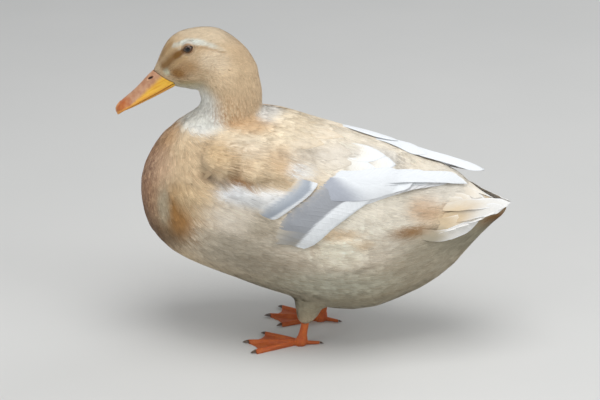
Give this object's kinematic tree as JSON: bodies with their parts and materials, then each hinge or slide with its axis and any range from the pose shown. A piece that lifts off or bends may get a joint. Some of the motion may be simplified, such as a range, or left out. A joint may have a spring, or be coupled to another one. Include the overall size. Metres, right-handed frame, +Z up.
{
  "type": "domestic duck",
  "caption": "Life-size standing model of a buff domestic duck hen with folded wings, webbed feet and its bill held slightly down.",
  "frame": {"origin": "on the floor under the middle of the duck's bounding box", "axes": "+X from bill to tail, +Y to the duck's right side, +Z up; the soles stand on Z = 0"},
  "size_m": [0.4516, 0.1902, 0.3695],
  "materials": {
    "buff_plumage": "soft feathers",
    "pale_plumage": "smooth feathers",
    "bill_horn": "satin horn",
    "orange_skin": "scaly skin",
    "dark_eye": "wet gloss",
    "claw_horn": "satin horn"
  },
  "bodies": {
    "root": {"trunk": "buff_plumage", "neck": "buff_plumage", "head": "buff_plumage", "thigh_left": "buff_plumage", "thigh_right": "buff_plumage", "wing_left": "pale_plumage", "wing_right": "pale_plumage", "tail": "pale_plumage", "bill_upper": "bill_horn", "bill_lower": "bill_horn", "eye_left": "dark_eye", "eye_right": "dark_eye", "shank_left": "orange_skin", "shank_right": "orange_skin", "foot_left": "orange_skin", "foot_right": "orange_skin", "claw_left_1": "claw_horn", "claw_left_2": "claw_horn", "claw_left_3": "claw_horn", "claw_left_4": "claw_horn", "claw_right_1": "claw_horn", "claw_right_2": "claw_horn", "claw_right_3": "claw_horn", "claw_right_4": "claw_horn"}
  },
  "joints": []
}
